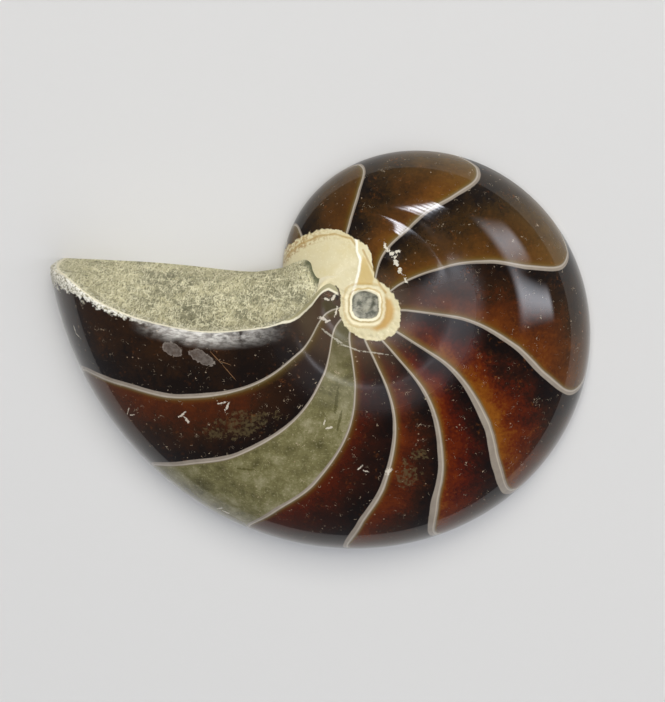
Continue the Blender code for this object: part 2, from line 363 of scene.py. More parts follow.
class StageLook(bpy.types.PropertyGroup):
    """The studio round the stone."""

    floor: FloatVectorProperty(
        name="Floor", description="Colour of the plain floor", default=linear("#C9C8C5"), **COLOUR
    )
    light: FloatProperty(
        name="Light",
        description="Strength of all the lamps together",
        default=1.0,
        min=0.0,
        max=10.0,
        subtype="FACTOR",
    )
    camera_distance: FloatProperty(
        name="Camera distance",
        description="From the coiling axis to the camera",
        default=0.224,
        min=0.1,
        max=1.0,
        subtype="DISTANCE",
        unit="LENGTH",
    )


def smoothstep(low, high, value):
    t = np.clip((value - low) / (high - low), 0.0, 1.0)
    return t * t * (3.0 - 2.0 * t)


def curve_through(knots, value):
    """A smooth curve through the knots, level at each peak and dip, so that it never overshoots them."""
    x, y = np.array(knots, float).T
    value = np.asarray(value, float)
    step = np.diff(x)
    slope = np.diff(y) / step
    between = 2 * slope[:-1] * slope[1:] / (slope[:-1] + slope[1:] + 1e-12)
    tangent = np.concatenate([slope[:1], between, slope[-1:]])
    tangent[1:-1][slope[:-1] * slope[1:] <= 0] = 0.0
    i = np.clip(np.searchsorted(x, value) - 1, 0, len(step) - 1)
    t = (value - x[i]) / step[i]
    rise = y[i] * (1 + 2 * t) + tangent[i] * step[i] * t
    fall = y[i + 1] * (3 - 2 * t) - tangent[i + 1] * step[i] * (1 - t)
    return rise * (1 - t) ** 2 + fall * t**2


def section_table():
    """Girth, distance from the axis and height along one cross-section, as parts of the whorl radius."""
    inside = np.linspace(AXIS_GAP, SHOULDER, 40)[:-1]
    dish = HALF_THICKNESS * (1 - FLANK_DISH * ((SHOULDER - inside) / SHOULDER) ** 2)
    turn = np.linspace(0.0, math.pi / 2, 90)
    out = SHOULDER + (1 - SHOULDER) * np.sin(turn) ** (2 / VENTER_ROUNDNESS)
    high = HALF_THICKNESS * np.abs(np.cos(turn)) ** (2 / FLANK_ROUNDNESS)
    reach, height = np.concatenate([inside, out]), np.concatenate([dish, high])
    height[-1] = 0.0
    length = np.concatenate([[0.0], np.cumsum(np.hypot(np.diff(reach), np.diff(height)))])
    return length / length[-1], reach, height


GIRTH, REACH, HEIGHT = section_table()


def whorl_radius(growth):
    angle = np.radians(growth)
    sway = GROWTH_SWAY * (np.sin(angle) + 1 - np.cos(angle))
    return WHORL_RADIUS * np.exp(sway - math.log(WHORL_GROWTH) * growth / 360)


def shell_points(growth, girth, inward=0.0):
    """Points on the polished shell; inward goes from a section's end, at 0, to the plug's middle, at 1."""
    radius = whorl_radius(growth)
    edge = radius * np.interp(girth, GIRTH, REACH)
    outside_plug, inside_plug = inward / PLUG_SHARE, (1 - inward) / (1 - PLUG_SHARE)
    reach = np.where(outside_plug < 1, edge + (PLUG_RADIUS - edge) * outside_plug, PLUG_RADIUS * inside_plug)
    height = radius * np.interp(girth, GIRTH, HEIGHT)
    turned = smoothstep(*CALLUS_SPREAD, growth)
    level, spread = (low + (high - low) * turned for low, high in (CALLUS_LEVEL, CALLUS_RADII))
    callus = 1 - smoothstep(level, spread, reach)
    height = height + (PLUG_HEIGHT - height) * callus
    height -= PLUG_SINK * (1 - smoothstep(PLUG_RADIUS * 0.66, PLUG_RADIUS, reach))
    bearing = np.radians(START_BEARING + growth)
    x = reach * np.cos(bearing) + PLUG_PLACE[0] * callus
    y = reach * np.sin(bearing) + PLUG_PLACE[1] * callus
    return np.stack(np.broadcast_arrays(x, y, height), axis=-1)


def girth_at(turn, part):
    """Girth at a part of the turn on a row; by the rim the rows bunch up round the umbilicus."""
    rim, inner = curve_through(RIM_ROWS, part), curve_through(INNER_ROWS, part)
    return rim + (inner - rim) * turn


def growth_at(turn, girth):
    """Growth angle at a part of the turn: the rim at 0, sutures between, the matrix's inner edge at 1."""
    suture = curve_through(SUTURE, girth)
    first, last = RIM[-1][1], INNER_EDGE[-1][1]
    growth = first + (last - first) * turn + suture
    rim = curve_through(RIM, girth) - first - suture
    edge = curve_through(INNER_EDGE, girth) - last - suture
    growth = growth + rim * np.maximum(0.0, 1 - turn / RIM_REACH) ** 2
    return growth + edge * np.maximum(0.0, (turn - 1 + INNER_REACH) / INNER_REACH) ** 2


def unit(vectors):
    return vectors / np.maximum(np.linalg.norm(vectors, axis=1), 1e-12)[:, None]


def worn_back(point, girth, on_matrix):
    """Rounds the broken rim: moves points near it onto the arc that joins the flank and the broken face."""
    width = np.maximum(curve_through(RIM_WEAR, girth), 1e-7)
    growth = curve_through(RIM, girth)
    rim = shell_points(growth, girth)
    low, high = np.maximum(0.0, girth - 0.01), np.minimum(1.0, girth + 0.01)
    along = unit(shell_points(curve_through(RIM, low), low) - shell_points(curve_through(RIM, high), high))
    on_flank = shell_points(growth + 1, girth) - rim
    on_flank = unit(on_flank - (on_flank * along).sum(1)[:, None] * along)
    on_face = unit(np.cross((0.0, 1.0, 0.0), along))
    swap = on_matrix[:, None]
    away, other = np.where(swap, on_face, on_flank), np.where(swap, on_flank, on_face)
    near = np.maximum(0.0, width - np.linalg.norm(point - rim, axis=1)) * (girth > RIM_WEAR[1][0])
    angle = math.pi / 4 * near / width
    return point + (near - width * np.sin(angle))[:, None] * away + (width * (1 - np.cos(angle)))[:, None] * other


def rim_line():
    """The broken rim from the umbilicus to the venter, for the face to hang from."""
    girth = np.linspace(0.0, 1.0, 80)
    points = shell_points(curve_through(RIM, girth), girth)
    return points[np.argsort(points[:, 0])]


RIM_LINE = rim_line()
FAR_EDGE = (shell_points(INNER_EDGE[-1][1], 1.0), shell_points(RIM[-1][1], 1.0))


def matrix_points(across, part, inward, fine_relief):
    """Points on the broken end; across goes from the inner turn, at 0, to the rim, at 1."""
    girths = girth_at(1.0, part), girth_at(0.0, part)
    inner = shell_points(curve_through(INNER_EDGE, girths[0]), girths[0], inward)
    outer = shell_points(curve_through(RIM, girths[1]), girths[1], inward)
    step = across[:, None]
    point = inner + (outer - inner) * step
    first, last = inner[:, :2] - PLUG_PLACE, outer[:, :2] - PLUG_PLACE
    near, far = np.linalg.norm(first, axis=1), np.linalg.norm(last, axis=1)
    round_plug = PLUG_PLACE + unit(first + (last - first) * step) * (near + (far - near) * across)[:, None]
    point[:, :2] += (round_plug - point[:, :2]) * (1 - smoothstep(0.0, MATRIX_START[0], part))[:, None]
    point[:, 1] += curve_through(FAR_EDGE_DIP, across) * part
    rough = smoothstep(*MATRIX_START, part) * (1 - inward)
    along = np.clip((point[:, 0] - FAR_EDGE[0][0]) / (FAR_EDGE[1][0] - FAR_EDGE[0][0]), 0.0, 1.0)
    foot = FAR_EDGE[0][1] + (FAR_EDGE[1][1] - FAR_EDGE[0][1]) * along + curve_through(FAR_EDGE_DIP, along)
    rim_y, rim_z = (np.interp(point[:, 0], RIM_LINE[:, 0], RIM_LINE[:, axis]) for axis in (1, 2))
    wall_y = foot + (rim_y - foot) * np.minimum(1.0, point[:, 2] / np.maximum(rim_z, 1e-6))
    shift = (wall_y - point[:, 1]) * rough * smoothstep(0.0, FILLET, across)
    middle = 4 * across * (1 - across)
    shift -= MATRIX_HOLLOW * middle * np.sin(math.pi * part) * rough
    point[:, 1] += np.where((across == 1.0) | (part == 1.0), 0.0, shift)
    fade = rough * np.minimum(1.0, 2 * middle) * np.minimum(1.0, 8 * (1 - part))
    for place, much in zip(point, fade):
        if much > 0:
            lump = noise.fractal(Vector(place) / (4 * MATRIX_LUMP), 1.0, 2.0, 3)
            grain = noise.fractal(Vector(place) / (0.6 * MM), 0.9, 2.0, 3)
            place[1] += (MATRIX_RELIEF * lump + fine_relief * grain) * much
    return point


def distance_to(line, x, y):
    """How far points in plan are from a line through the given points."""
    ends = np.array(line, float)
    best = np.full(x.shape, np.inf)
    for (ax, ay), (bx, by) in zip(ends[:-1], ends[1:]):
        dx, dy = bx - ax, by - ay
        t = np.clip(((x - ax) * dx + (y - ay) * dy) / (dx * dx + dy * dy), 0, 1)
        best = np.minimum(best, np.hypot(x - ax - t * dx, y - ay - t * dy))
    return best


def chamber_at(growth, girth):
    """Counts the septa passed, with 1 on the first of them, and the growth angle's own share of a chamber."""
    axial = [septum[0] for septum in SEPTA]
    angles = (RIM_CHAMBER_START - 30.0, RIM_CHAMBER_START, *axial, axial[-1] + 40.0)
    knots = [(angle, number - 1) for number, angle in enumerate(angles)]
    return curve_through(knots, growth - curve_through(SUTURE, girth))


def septum_width(chamber, girth):
    """Width in mm of the nearest septum's line."""
    nearest = np.clip(np.rint(chamber).astype(int) - 1, 0, len(SEPTA) - 1)
    narrow, wide = np.array(SEPTA)[nearest, 1:].T
    flared = np.where(nearest == FLARED_SEPTUM, 0.9 * smoothstep(0.84, 0.97, girth), 0.0)
    return narrow + (wide - narrow) * smoothstep(0.05, 0.75, girth) + flared


def chamber_pace(growth, girth):
    """Metres of shell to one chamber, measured straight across the septa."""
    across, along = 0.2, 0.002
    low, high = np.maximum(girth - along, 0.0), np.minimum(girth + along, 1.0)
    by_growth = (shell_points(growth + across, girth) - shell_points(growth - across, girth)) / (2 * across)
    by_girth = (shell_points(growth, high) - shell_points(growth, low)) / (high - low)[:, None]
    rate = (chamber_at(growth + across, girth) - chamber_at(growth - across, girth)) / (2 * across)
    tilt = (chamber_at(growth, high) - chamber_at(growth, low)) / (high - low)
    first, mixed, second = ((a * b).sum(-1) for a, b in ((by_growth,) * 2, (by_growth, by_girth), (by_girth,) * 2))
    steep = (second * rate**2 - 2 * mixed * rate * tilt + first * tilt**2) / np.maximum(
        first * second - mixed**2, 1e-18
    )
    return 1 / np.sqrt(np.maximum(steep, 1e-6))


def inside_of(outline, x, y):
    """How deep points in plan lie inside a closed outline, negative outside it."""
    corners = (*outline, outline[0])
    crossed = np.zeros(x.shape, bool)
    for (ax, ay), (bx, by) in zip(corners[:-1], corners[1:]):
        if ay != by:
            crossed ^= ((ay > y) != (by > y)) & (x < (bx - ax) * (y - ay) / (by - ay) + ax)
    return distance_to(corners, x, y) * np.where(crossed, 1.0, -1.0)


def plug_distance(x, y):
    """Distance in mm from the plug's middle, scaled so that its squarish outline is at PLUG_HALF[0]."""
    dx, dy = np.abs(x - PLUG_MIDDLE[0]) / PLUG_HALF[0], np.abs(y - PLUG_MIDDLE[1]) / PLUG_HALF[1]
    return (dx**3 + dy**3) ** (1 / 3) * PLUG_HALF[0]


def ridge(distance, width):
    """A rounded ridge across a distance, 1 high along its middle."""
    return np.exp(-((distance / width) ** 2))


def callus_lift(x, y, plug):
    """How far the low steps on the callus stand up, in mm, and the distances in mm from the lines on it."""
    lines = {name: distance_to(line, x, y) for name, line in CALLUS_LINES.items()}
    lift = sum(height * ridge(lines[name], width) for name, height, width in LINE_STEPS)
    lift *= smoothstep(1.9, 2.3, plug)
    lift += sum(height * ridge(plug - radius, width) for radius, height, width in PLUG_STEPS)
    lift -= PLUG_STEP_DOWN * (1 - smoothstep(1.55, 1.80, plug))
    lines["seam"] = np.minimum(lines["seam"], lines.pop("band"))
    return lift, lines


def add_relief(point, lift, knobs, crumbs):
    """Raises the callus's steps and knobs, given in mm, and roughens the crust of the rim."""
    for place, step, knob, crumb in zip(point, lift, knobs, crumbs):
        place[2] += step * MM
        if knob > 0:
            place[2] += knob * MM * noise.fractal(Vector(place) / (0.9 * MM), 1.0, 2.0, 3)
        if crumb > 0:
            place[:2] *= 1 + CRUST_SPREAD * crumb * noise.fractal(Vector(place) / (0.7 * MM), 0.8, 2.0, 3)


def stone_fields(look):
    """Every grid point of the stone, with the values that its materials read."""
    columns = WHORL_COLUMNS + MATRIX_COLUMNS
    rows = AXIS_ROWS + GIRTH_ROWS + CUT_ROWS
    column, row = (n.ravel() for n in np.meshgrid(np.arange(columns + 1), np.arange(rows + 1), indexing="ij"))
    inward = np.maximum(0.0, 1 - row / AXIS_ROWS)
    part = np.clip((row - AXIS_ROWS) / GIRTH_ROWS, 0.0, 1.0)
    centred = np.clip((row - AXIS_ROWS - GIRTH_ROWS) / CUT_ROWS, 0.0, 1.0)
    turn = np.minimum(column / WHORL_COLUMNS, 1.0) ** RIM_CROWDING[0]
    across = 1 - np.clip((columns - column) / MATRIX_COLUMNS, 0.0, 1.0) ** RIM_CROWDING[1]
    end = column > WHORL_COLUMNS
    girth, rim_girth = girth_at(turn, part), girth_at(np.where(end, 0.0, turn), part)
    growth = growth_at(turn, girth)
    chamber = chamber_at(growth, girth)
    pace = chamber_pace(growth, girth)
    inner = shell_points(growth, girth, inward)
    point = inner.copy()
    point[end] = matrix_points(across[end], part[end], inward[end], look.relief)
    margin = np.linalg.norm(point - inner, axis=1)
    rim = np.linalg.norm(point - shell_points(curve_through(RIM, rim_girth), rim_girth, inward), axis=1)
    stony = np.where(end, part - sum(MATRIX_START) / 2, 0.0)
    girth = np.where(end, girth + (rim_girth - girth) * across, girth)

    x, y = point[:, 0] / MM, point[:, 1] / MM
    callus = curve_through(CALLUS_EDGE, growth) - np.hypot(x, y)
    plug = plug_distance(x, y)
    lift, lines = callus_lift(x, y, plug)
    on_callus = smoothstep(-0.2, 0.3, callus) * (stony <= 0)
    knobbly = ridge(callus - 0.5, 0.5) * (1 - smoothstep(120.0, 200.0, growth))
    crusty = smoothstep(0.62, 0.8, girth) * (1 - smoothstep(1.2, 2.2, rim / MM)) * (girth < 0.97)
    add_relief(point, on_callus * lift, on_callus * (FINE_KNOBS + EDGE_KNOBS * knobbly), crusty)
    point = worn_back(point, rim_girth, end)
    point[:, :2] *= (1 - centred)[:, None]
    point = np.clip(point + (*AXIS_PLACE, 0.0), *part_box(NODE))
    in_mm = {
        "callus": callus,
        "plug": plug,
        "tongue": inside_of(CALLUS_TONGUE, x, y),
        "crescent": inside_of(CALLUS_PAINTED_SHADOW, x, y),
        "septum": septum_width(chamber, girth) / 2,
        **lines,
    }
    fields = {"chamber": chamber, "pace": pace, "growth": growth, "girth": girth}
    fields |= {"rim": rim, "margin": margin, "stony": stony}
    return point, fields | {name: value * MM for name, value in in_mm.items()}


def close_rim_seam(point, fields):
    """Lays the last column on the first, along the rim, with one value of each field for both."""
    rows = AXIS_ROWS + GIRTH_ROWS + CUT_ROWS + 1
    fields["margin"][:rows] = fields["margin"][-rows:]
    for values in (point, *fields.values()):
        values[-rows:] = values[:rows]


def build_stone(look):
    columns, rows = WHORL_COLUMNS + MATRIX_COLUMNS, AXIS_ROWS + GIRTH_ROWS + CUT_ROWS
    point, fields = stone_fields(look)
    close_rim_seam(point, fields)
    bm = bmesh.new()
    bmesh.ops.create_grid(bm, x_segments=columns, y_segments=rows, size=0.5)
    layers = {name: bm.verts.layers.float.new(name) for name in fields}
    for vert in bm.verts:
        column, row = round((vert.co.x + 0.5) * columns), round((vert.co.y + 0.5) * rows)
        place = column * (rows + 1) + row
        vert.co = point[place]
        for name, layer in layers.items():
            vert[layer] = float(fields[name][place])
        vert.index = place
    for face in bm.faces:
        places = [vert.index for vert in face.verts]
        if min(place % (rows + 1) for place in places) >= AXIS_ROWS + GIRTH_ROWS:
            face.material_index = 2
        elif max(fields["stony"][place] for place in places) > 0:
            face.material_index = 1
    bmesh.ops.remove_doubles(bm, verts=bm.verts, dist=1e-6)
    bmesh.ops.recalc_face_normals(bm, faces=bm.faces)
    for face in bm.faces:
        face.smooth = True
    for edge in bm.edges:
        edge.smooth = len({face.material_index for face in edge.link_faces}) == 1
    mesh = bpy.data.meshes.new(PIECE)
    bm.to_mesh(mesh)
    bm.free()
    return mesh


def fill(node, inputs):
    """Sets or joins a node's sockets, given in order or by name; a colour may be written as sRGB hex."""
    for socket, value in inputs.items() if isinstance(inputs, dict) else enumerate(inputs):
        if isinstance(value, bpy.types.NodeSocket):
            node.id_data.links.new(value, node.inputs[socket])
        elif value is not None:
            node.inputs[socket].default_value = linear(value) if isinstance(value, str) else value


def add_node(tree, kind, inputs=(), out=0, stops=None, **settings):
    """Adds a shader node and returns one of its outputs; a kind in capitals is a Math node's operation."""
    if kind.isupper():
        kind, settings = "Math", {"operation": kind}
    node = tree.nodes.new("ShaderNode" + kind)
    for name, value in settings.items():
        setattr(node, name, value)
    fill(node, inputs)
    if stops:
        elements = node.color_ramp.elements
        while len(elements) < len(stops):
            elements.new(1.0)
        for element, (position, colour) in zip(elements, stops):
            element.position = position
            element.color = linear(colour) if isinstance(colour, str) else colour
    return node.outputs[out]


def new_material(name):
    material = bpy.data.materials.new(name)
    material.use_nodes = True
    tree = material.node_tree
    return material, tree.nodes["Principled BSDF"], partial(add_node, tree)


def surface_values(add, fields, fades):
    """What a material reads: the place from the axis, its distance in plan, the mesh's fields and the fades."""
    place = add("TexCoord", out="Object")
    place = add("Mapping", {"Vector": place, "Location": (-AXIS_PLACE[0], -AXIS_PLACE[1], 0.0)})
    in_plan = add("Mapping", {"Vector": place, "Scale": (1.0, 1.0, 0.0)})
    from_axis = add("VectorMath", (in_plan,), out="Value", operation="LENGTH")
    values = {name: add("Attribute", out="Fac", attribute_name=name) for name in fields}
    values |= {"place": place, "from_axis": from_axis}
    for name, (field, *numbers) in fades.items():
        values[name] = add("MapRange", (values[field], *numbers), **SOFT)
    return values


def tinted(add, colour, paint, share, *factors):
    """A colour mixed towards a paint, by a share that masks and numbers cut down."""
    for factor in factors:
        share = add("MULTIPLY", (share, factor))
    return add("MixRGB", (share, colour, paint))


def line_at(add, value, middle, wide, narrow, strength=1.0):
    """A mask of the line where a value passes the middle: none beyond wide of it, and full within narrow."""
    off = add("SUBTRACT", (value, middle))
    off = add("ABSOLUTE", (off,))
    return add("MapRange", (off, wide, narrow, 0.0, strength), **SOFT)


def speckle(add, place, size, low, high, detail=4.0, stretch=None):
    """A mask of grains or fibres of about this size in metres, which starts at the noise value low."""
    if stretch:
        place = add("Mapping", {"Vector": place, **stretch})
    grains = add("TexNoise", {"Vector": place, "Scale": 1 / size, "Detail": detail, "Roughness": 0.6})
    return add("MapRange", (grains, low, high), **SOFT)


def strokes(add, place, marks, ragged, crumbs):
    """One mask of many ovals in plan, with crumbs of this size in mm along their ragged edges."""
    edge = add("TexNoise", {"Vector": place, "Scale": 1 / (crumbs * MM), "Detail": 3.0, "Roughness": 0.7})
    joined = 0.0
    for x, y, along, half, turn in marks:
        oval = {
            "Vector": place,
            "Location": (x * MM, y * MM, 0.0),
            "Rotation": (0.0, 0.0, math.radians(turn)),
            "Scale": (along * MM, half * MM, 1.0),
        }
        local = add("Mapping", oval, vector_type="TEXTURE")
        distance = add("VectorMath", (local,), out="Value", operation="LENGTH")
        wobbled = add("MULTIPLY_ADD", (edge, 2 * ragged, distance))
        mask = add("MapRange", (wobbled, 1.12 + ragged, 0.88 + ragged), **SOFT)
        joined = add("MAXIMUM", (joined, mask))
    return joined


def chamber_table(add, chamber, values):
    """One value for each chamber, from the one ahead of the broken rim inwards."""
    share = add("MapRange", (chamber, -1.0, len(values) - 1.0))
    stops = [(number / len(values), (value, value, value, 1.0)) for number, value in enumerate(values)]
    table = add("ValToRGB", (share,), stops=stops)
    table.node.color_ramp.interpolation = "CONSTANT"
    return table


def calcite_colour(add, look, at):
    """Calcite that fades over each chamber from amber or olive brown to near black."""
    place = at["place"]
    glow, olive = (chamber_table(add, at["chamber"], values) for values in (GLOW, OLIVE))
    clouds = add("TexNoise", {"Vector": place, "Scale": 1 / (3.2 * MM), "Detail": 3.0, "Roughness": 0.55})
    grains = add("TexNoise", {"Vector": place, "Scale": 1 / (0.45 * MM), "Detail": 3.0, "Roughness": 0.6})
    uneven = add("MULTIPLY_ADD", (clouds, 0.9, -0.45))
    uneven = add("MULTIPLY_ADD", (grains, 0.55, uneven))
    faded = add("ADD", (at["phase"], uneven))
    lit = add("MapRange", (faded, 1.22, 0.30))
    lit = add("MULTIPLY", (lit, glow))

    # Painted shade: darker at the venter of the outer turn, and near the axis in the first two chambers
    painted_shade = add("MULTIPLY", (at["painted_shade_at_venter"], at["outer_turn"]))
    painted_shade = add("MULTIPLY_ADD", (at["painted_shade_by_axis"], at["first_two"], painted_shade))
    kept = add("SUBTRACT", (1.0, painted_shade))
    lit = add("MULTIPLY", (lit, kept))

    stops = [(0.22, "#200906"), (0.42, look.maroon), (0.62, "#571B04"), (0.80, look.amber), (1.0, "#7F4A10")]
    calcite = add("ValToRGB", (lit,), stops=[(0.0, look.dark), *stops])
    olive_brown = add("MixRGB", (lit, "#1A130C", "#6A4F1E"))
    olive = add("ADD", (olive, at["venter"]))
    colour = add("MixRGB", (olive, calcite, olive_brown))
    colour = add("MixRGB", (at["umbilical"], colour, "#4F3D2C"))
    edge = add("MapRange", (at["behind"], 1.15 * MM, 0.15 * MM, 0.0, 0.8), **SOFT)
    colour = tinted(add, colour, "#64501C", edge, glow)
    clusters = speckle(add, place, 0.5 * MM, 0.50, 0.78, detail=5.0)
    zones = speckle(add, place, 2.2 * MM, 0.50, 0.70)
    return tinted(add, colour, "#9A5A26", clusters, zones, glow, 0.6)


def mudstone_filling(add, look, at, colour):
    """The one chamber that mudstone fills, with dark dashes in it."""
    place = at["place"]
    mud = add("TexNoise", {"Vector": place, "Scale": 1 / (3.5 * MM), "Detail": 9.0, "Roughness": 0.72})
    mud = add("ValToRGB", (mud,), stops=[(0.32, "#413C22"), (0.5, look.olive), (0.68, "#8A8466")])
    grain = speckle(add, place, 0.30 * MM, 0.56, 0.68, detail=3.0)
    mud = tinted(add, mud, "#A49E7C", grain, 0.35)
    mud = add("MixRGB", (at["umbilical"], mud, "#4A4328"))
    filled = add("COMPARE", (at["chamber"], FILLED_CHAMBER + 0.5, 0.5))
    colour = add("MixRGB", (filled, colour, mud))
    return tinted(add, colour, "#3A3610", strokes(add, place, DARK_DASHES, 1.3, 0.4), 0.6)


def fibrous_marks(add, place, colour, flakes):
    """Pale flecks and threads, dull patches where the stone is fibrous, and flakes with a pale outline."""
    flecks = add("TexVoronoi", {"Vector": place, "Scale": 1 / (1.1 * MM)})
    flecks = add("MapRange", (flecks, 0.12, 0.05), **SOFT)
    sparse = speckle(add, place, 2.5 * MM, 0.50, 0.58)
    colour = tinted(add, colour, "#A08A70", flecks, sparse, 0.6)
    thread = add("TexNoise", {"Vector": place, "Scale": 1 / (1.1 * MM), "Detail": 1.0, "Distortion": 1.5})
    thread = line_at(add, thread, 0.5, 0.014, 0.004, 0.7)
    broken = speckle(add, place, 0.9 * MM, 0.58, 0.66)
    colour = tinted(add, colour, "#B9A88E", thread, broken)
    fibres = speckle(add, place, 0.45 * MM, 0.40, 0.62)
    colour = tinted(add, colour, "#5E5236", strokes(add, place, DULL_PATCHES, 1.8, 1.2), fibres, 0.45)
    flake_share = add("MULTIPLY_ADD", (fibres, 0.25, 0.30))
    colour = tinted(add, colour, "#7E746B", flake_share, flakes)
    outline = add("PINGPONG", (flakes, 0.5))
    return tinted(add, colour, "#9C9388", outline, 1.1)


def septum_lines(add, look, at, colour):
    """Septa, cut across: pale warm grey lines, crisp towards the dark side, with a brighter thread."""
    place = at["place"]
    drift = add("TexNoise", {"Vector": place, "Scale": 1 / (5 * MM), "Detail": 2.0})
    nearest = add("PINGPONG", (at["chamber"], 0.5))
    distance = add("MULTIPLY", (nearest, at["pace"]))
    wavy = add("MULTIPLY_ADD", (drift, 0.8, 0.6))
    half = add("MULTIPLY", (at["septum"], wavy))
    over = add("SUBTRACT", (distance, half))
    halo = add("MapRange", (over, 0.40 * MM, 0.0, 0.0, 0.55), **SOFT)
    after = add("LESS_THAN", (at["phase"], 0.5))
    colour = tinted(add, colour, "#6C6244", halo, after)
    tone = add("TexNoise", {"Vector": place, "Scale": 1 / (1.3 * MM), "Detail": 4.0})
    shell = add("MixRGB", (tone, look.septum, "#786D61"))
    shell = add("MixRGB", (at["bright_septum"], shell, "#B0AB98"))
    thread = add("MULTIPLY_ADD", (half, -0.5, at["behind"]))
    thread = line_at(add, thread, 0.0, 0.14 * MM, 0.04 * MM, 0.45)
    shell = add("MixRGB", (thread, shell, "#BDB3A2"))
    septum = add("MapRange", (over, 0.07 * MM, -0.05 * MM), **SOFT)
    return add("MixRGB", (septum, colour, shell))


def callus_colour(add, look, at, ragged, layers):
    """Cream shell in fine layers, gold along its outer band, with the forms on it, a painted shadow crescent among
    them, and the grey plug.
    """
    place = at["place"]
    cream = add("MixRGB", (layers, look.callus, "#CDBF90"))
    cream = tinted(add, cream, "#EEE7CC", speckle(add, place, 0.25 * MM, 0.58, 0.70, detail=2.0), 0.35)
    gold = speckle(add, place, 0.40 * MM, 0.46, 0.56)
    cream = tinted(add, cream, "#99743A", gold, at["towards_edge"], at["outer_band"], at["inner_turn"])
    for name, ragging, outer, inner, share, paint in CALLUS_FORMS:
        form = add("MULTIPLY_ADD", (ragged, ragging, at[name]))
        form = add("MapRange", (form, outer * MM, inner * MM, 0.0, share), **SOFT)
        cream = add("MixRGB", (form, cream, paint))
    ring = add("MULTIPLY_ADD", (ragged, 0.45, at["plug"]))
    for radius, half_width, share, paint in PLUG_RINGS:
        mask = line_at(add, ring, radius * MM, 1.6 * half_width * MM, 0.4 * half_width * MM, share)
        cream = add("MixRGB", (mask, cream, paint))
    plug_edge = add("MULTIPLY_ADD", (ragged, 0.35, at["plug"]))
    outside_plug = add("MapRange", (plug_edge, 1.74 * MM, 1.88 * MM), **SOFT)
    plug_grain = speckle(add, place, 0.7 * MM, 0.32, 0.68, detail=6.0)
    plug = add("MixRGB", (plug_grain, "#4F5044", "#A09D8B"))
    return add("MixRGB", (outside_plug, plug, cream))


def frost_and_glare_masks(add, at):
    """The bruised band below the rim, rough and with a painted pale glare: how far it reaches, and its grain,
    drawn out along the rim.
    """
    frost_and_glare = add("MULTIPLY", (at["frost_reach"], at["frost_from"]))
    frost_and_glare = add("MULTIPLY", (frost_and_glare, at["frost_to"]))
    along_rim = {"Scale": (0.4, 1.0, 1.0)}
    return frost_and_glare, speckle(add, at["place"], 0.42 * MM, 0.36, 0.62, detail=5.0, stretch=along_rim)


def crust_masks(add, at):
    """The crust of crumbs that widens from mid-flank to the tip, and the noise that crumbles it."""
    crumb = add("TexNoise", {"Vector": at["place"], "Scale": 1 / (1.1 * MM), "Detail": 6.0, "Roughness": 0.72})
    crumbled = add("MULTIPLY_ADD", (crumb, 2.8, -0.60))
    width = add("MULTIPLY", (at["crust_width"], crumbled))
    crust = add("SUBTRACT", (at["rim"], width))
    crust = add("MapRange", (crust, 0.08 * MM, -0.10 * MM), **SOFT)
    return add("MULTIPLY", (crust, at["crust_from"])), crumb


def rim_colour(add, at, colour, ragged, frost_and_glare, frost_grain, crust):
    """The broken rim: frost below it with a painted pale glare, crust, and a lip of shell that the matrix laps
    over by the umbilicus.
    """
    place = at["place"]
    # The frost's pale colour is a painted glare, broken up by grain and gaps
    glare_grain = add("MULTIPLY_ADD", (frost_grain, 0.6, 0.4))
    gaps = speckle(add, place, 2.4 * MM, 0.28, 0.52)
    colour = tinted(add, colour, "#DEDAD0", glare_grain, frost_and_glare, at["painted_glare_share"], gaps)
    crumbs = add("MixRGB", (speckle(add, place, 0.32 * MM, 0.34, 0.58, detail=3.0), "#8E8768", "#F2EEE0"))
    colour = add("MixRGB", (crust, colour, crumbs))
    lip = add("MULTIPLY_ADD", (ragged, 0.22, at["rim"]))
    lip = add("SUBTRACT", (lip, at["overlap"]))
    filling = add("MapRange", (lip, 0.0, -0.15 * MM), **SOFT)
    colour = tinted(add, colour, "#A29B76", filling, at["off_callus"])
    return tinted(add, colour, "#DED7BC", line_at(add, lip, 0.0, 0.24 * MM, 0.10 * MM), at["off_callus"])


